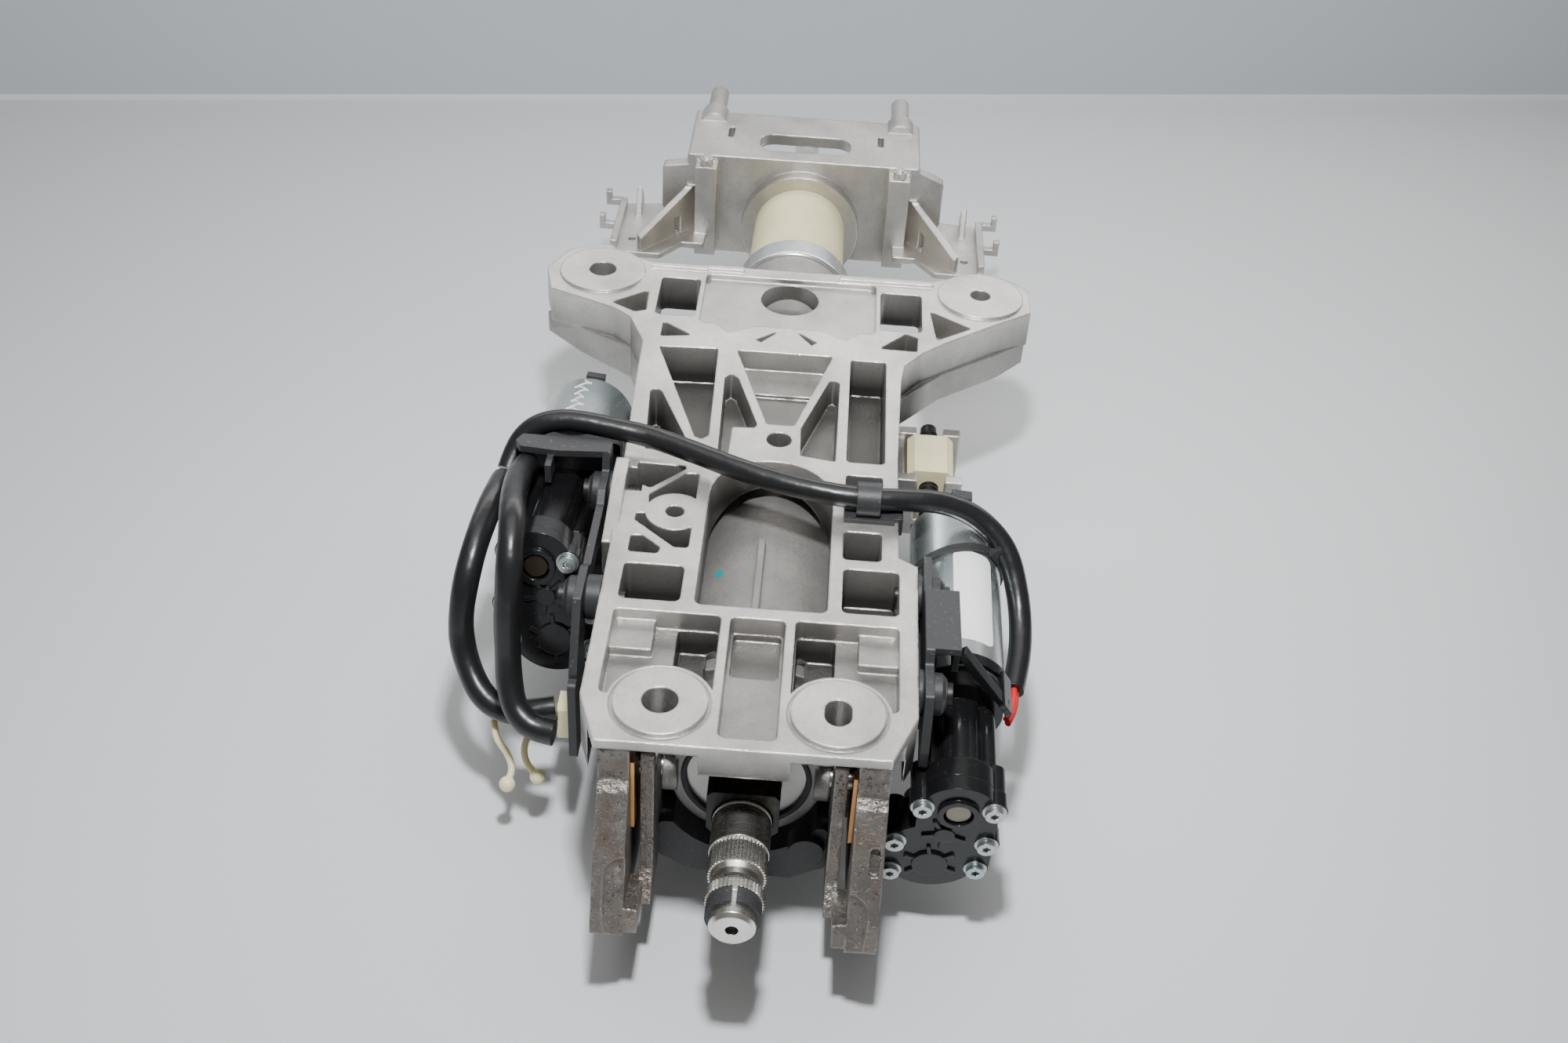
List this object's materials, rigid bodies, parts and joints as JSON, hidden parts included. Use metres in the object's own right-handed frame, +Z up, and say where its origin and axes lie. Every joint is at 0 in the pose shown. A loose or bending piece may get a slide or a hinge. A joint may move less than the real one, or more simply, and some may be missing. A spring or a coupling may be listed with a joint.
{
  "type": "steering column adjustment mechanism",
  "caption": "Powered adjustment unit of a steering column: a cast console with a sliding and tilting column, two geared motor drives, pivot arms and a bracket at the wheel end.",
  "frame": {"origin": "middle of the coupling spline, on the column axis", "axes": "+Z up out of the console pads, +Y along the column to the steering wheel, +X to the side of the drive that slides the column"},
  "size_m": [0.2246, 0.5626, 0.1161],
  "materials": {
    "cast_aluminium": "satin die-cast aluminium",
    "rough_casting": "rough casting with brown stains",
    "copper_strip": "bare copper-coloured strip",
    "bright_steel": "machined steel",
    "black_steel": "black treated steel",
    "zinc_plate": "zinc-plated steel with a blue tint",
    "gloss_black_plastic": "glossy moulded plastic",
    "black_plastic": "matt moulded plastic",
    "rubber": "moulded rubber",
    "cream_plastic": "cream nylon",
    "lead_sleeve": "soft sleeve over wires",
    "gear_plastic": "moulded gear plastic"
  },
  "bodies": {
    "console": {"console_casting": "cast_aluminium", "pivot_arm_left": "rough_casting", "pivot_arm_right": "rough_casting", "wear_strips": "copper_strip", "pivot_pins": "bright_steel", "cross_yoke": "black_plastic", "drive_bolts": "black_steel", "rubber_bushes": "rubber", "bush_washers": "rubber", "cable_clip": "black_plastic", "reach_bracket": "black_plastic", "reach_gear_housing": "gloss_black_plastic", "reach_gear_cover": "gloss_black_plastic", "reach_cover_screws": "bright_steel", "reach_bearing_plug": "bright_steel", "reach_motor_can": "zinc_plate", "reach_motor_end_cap": "black_plastic", "reach_strap": "gloss_black_plastic", "cable_tie": "black_plastic", "tilt_bracket": "black_plastic", "tilt_gear_housing": "gloss_black_plastic", "tilt_gear_cover": "gloss_black_plastic", "tilt_cover_screws": "bright_steel", "tilt_bearing_plug": "bright_steel", "tilt_motor_can": "zinc_plate", "tilt_motor_end_cap": "black_plastic", "lever_bracket": "rough_casting", "lead_over_console": "lead_sleeve", "lead_loop_outer": "lead_sleeve", "lead_loop_inner": "lead_sleeve", "lead_connector": "cream_plastic", "twist_clip": "cream_plastic", "motor_leads": "lead_sleeve"},
    "column": {"outer_jacket": "cast_aluminium", "bearing_ring": "cast_aluminium", "ring_seal": "rubber", "bearing_cup": "zinc_plate", "shaft_block": "black_steel", "lower_bearing": "bright_steel", "zinc_collar": "zinc_plate"},
    "steering_tube": {"inner_tube": "bright_steel", "guide_sleeve": "cream_plastic", "head_bracket": "cast_aluminium", "head_pins": "cast_aluminium", "upper_bearing": "bright_steel", "reach_arm": "cast_aluminium"},
    "lower_shaft": {"lower_shaft": "bright_steel", "shaft_end_ring": "black_plastic"},
    "upper_shaft": {"upper_shaft": "bright_steel"},
    "reach_nut": {"reach_nut": "cream_plastic"},
    "reach_spindle": {"reach_spindle": "black_steel"},
    "tilt_nut": {"tilt_nut": "cream_plastic"},
    "tilt_spindle": {"tilt_spindle": "black_steel"},
    "tilt_lever": {"tilt_lever": "black_steel"},
    "reach_pinion": {"reach_pinion": "gear_plastic"},
    "tilt_pinion": {"tilt_pinion": "gear_plastic"},
    "reach_idler": {"reach_idler_gear": "gear_plastic"},
    "tilt_idler": {"tilt_idler_gear": "gear_plastic"}
  },
  "joints": [
    {"name": "tilt_hinge", "type": "hinge", "parent": "console", "child": "column", "pos_m": [0, 0.044, 0], "axis": [1, 0, 0], "range_deg": [-4.5, 0.5]},
    {"name": "reach_slide", "type": "slide", "parent": "column", "child": "steering_tube", "axis": [0, 1, 0], "range_m": [-0.025, 0.025]},
    {"name": "lower_shaft_spin", "type": "hinge", "parent": "column", "child": "lower_shaft", "pos_m": [0, 0.03, 0], "axis": [0, 1, 0], "continuous": true},
    {"name": "upper_shaft_spin", "type": "hinge", "parent": "steering_tube", "child": "upper_shaft", "pos_m": [0, 0.33, 0], "axis": [0, 1, 0], "continuous": true},
    {"name": "reach_nut_slide", "type": "slide", "parent": "console", "child": "reach_nut", "axis": [0, 0.9945, 0.1045], "range_m": [-0.0255, 0.0255]},
    {"name": "reach_spindle_spin", "type": "hinge", "parent": "console", "child": "reach_spindle", "pos_m": [0.0666, 0.0311, -0.02354], "axis": [0, 0.9945, 0.1045], "range_deg": [-3100, 3100]},
    {"name": "reach_idler_spin", "type": "hinge", "parent": "console", "child": "reach_idler", "pos_m": [0.07, 0.02925, -0.00593], "axis": [0, 0.9945, 0.1045], "range_deg": [-4320, 4320]},
    {"name": "reach_pinion_spin", "type": "hinge", "parent": "console", "child": "reach_pinion", "pos_m": [0.0736, 0.028, 0.006], "axis": [0, 0.9945, 0.1045], "range_deg": [-6480, 6480]},
    {"name": "tilt_nut_slide", "type": "slide", "parent": "console", "child": "tilt_nut", "axis": [0, 0.9781, -0.2079], "range_m": [-0.0025, 0.015]},
    {"name": "tilt_spindle_spin", "type": "hinge", "parent": "console", "child": "tilt_spindle", "pos_m": [-0.0752, 0.09383, 0.01225], "axis": [0, 0.9781, -0.2079], "range_deg": [-1650, 230]},
    {"name": "tilt_idler_spin", "type": "hinge", "parent": "console", "child": "tilt_idler", "pos_m": [-0.0786, 0.09751, 0.02956], "axis": [0, 0.9781, -0.2079], "range_deg": [-300, 2290]},
    {"name": "tilt_pinion_spin", "type": "hinge", "parent": "console", "child": "tilt_pinion", "pos_m": [-0.0822, 0.1, 0.0413], "axis": [0, 0.9781, -0.2079], "range_deg": [-3410, 430]},
    {"name": "tilt_lever_hinge", "type": "hinge", "parent": "console", "child": "tilt_lever", "pos_m": [-0.06, 0.202, -0.0405], "axis": [1, 0, 0], "range_deg": [-26, 4]}
  ],
  "couplings": [
    {"joint": "upper_shaft_spin", "follows": "lower_shaft_spin", "ratio": 1},
    {"joint": "reach_nut_slide", "follows": "reach_slide", "ratio": 1.0055},
    {"joint": "reach_spindle_spin", "follows": "reach_slide", "rad_per_m": -2105.9},
    {"joint": "reach_idler_spin", "follows": "reach_slide", "rad_per_m": 2948.3},
    {"joint": "reach_pinion_spin", "follows": "reach_slide", "rad_per_m": -4422.5},
    {"joint": "tilt_lever_hinge", "follows": "tilt_hinge", "ratio": 5.45},
    {"joint": "tilt_nut_slide", "follows": "tilt_hinge", "m_per_rad": -0.1695},
    {"joint": "tilt_spindle_spin", "follows": "tilt_hinge", "ratio": 355},
    {"joint": "tilt_idler_spin", "follows": "tilt_hinge", "ratio": -497},
    {"joint": "tilt_pinion_spin", "follows": "tilt_hinge", "ratio": 745.5}
  ]
}
